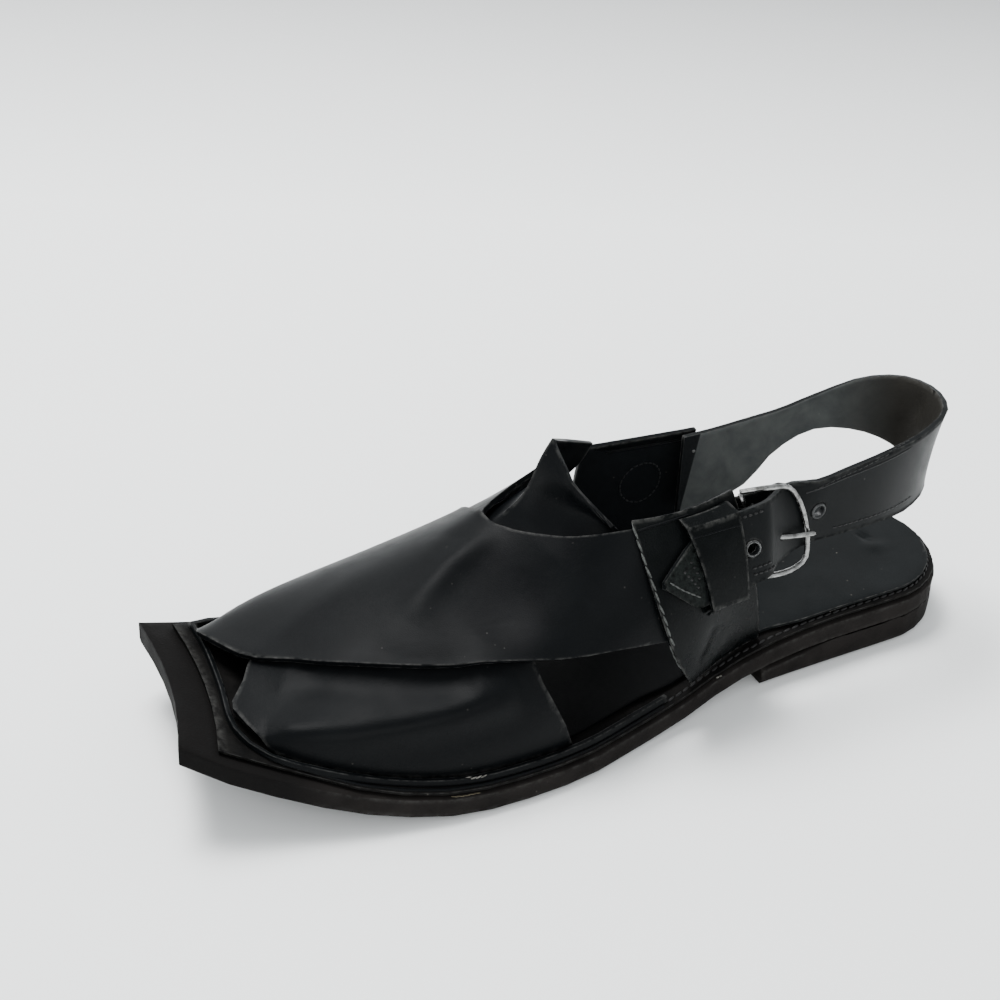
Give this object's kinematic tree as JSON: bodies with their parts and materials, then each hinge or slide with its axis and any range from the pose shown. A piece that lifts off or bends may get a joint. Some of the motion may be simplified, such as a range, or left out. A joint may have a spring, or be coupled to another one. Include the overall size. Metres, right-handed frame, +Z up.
{
  "type": "peshawari chappal",
  "caption": "Left sandal with crossed leather panels, a folded pointed tongue, a buckled heel strap, a square toe shelf and a low heel.",
  "frame": {"origin": "on the floor under the middle of the shoe's bounding box", "axes": "+Y from the heel to the toe, +X towards the inner side of the left foot, +Z up"},
  "size_m": [0.1128, 0.2996, 0.094],
  "materials": {
    "upper_leather": "smooth black, satin",
    "lining_leather": "dark grey, matte, lightly creased",
    "welt_leather": "dark edge-inked leather, satin",
    "sole": "brown-black, matte, inked edge",
    "buckle_metal": "polished, slightly worn",
    "eyelet_metal": "blackened, dull"
  },
  "bodies": {
    "root": {"outsole": "sole", "heel_lift": "sole", "midsole": "welt_leather", "insole": "lining_leather", "rand": "upper_leather", "upper": "upper_leather", "tongue": "upper_leather", "quarter_lateral": "upper_leather", "quarter_medial": "upper_leather", "heel_strap": "upper_leather", "buckle_guard": "lining_leather", "keeper": "upper_leather", "chape": "upper_leather", "buckle_frame": "buckle_metal", "buckle_prong": "buckle_metal", "eyelet_1": "eyelet_metal", "eyelet_2": "eyelet_metal"}
  },
  "joints": []
}
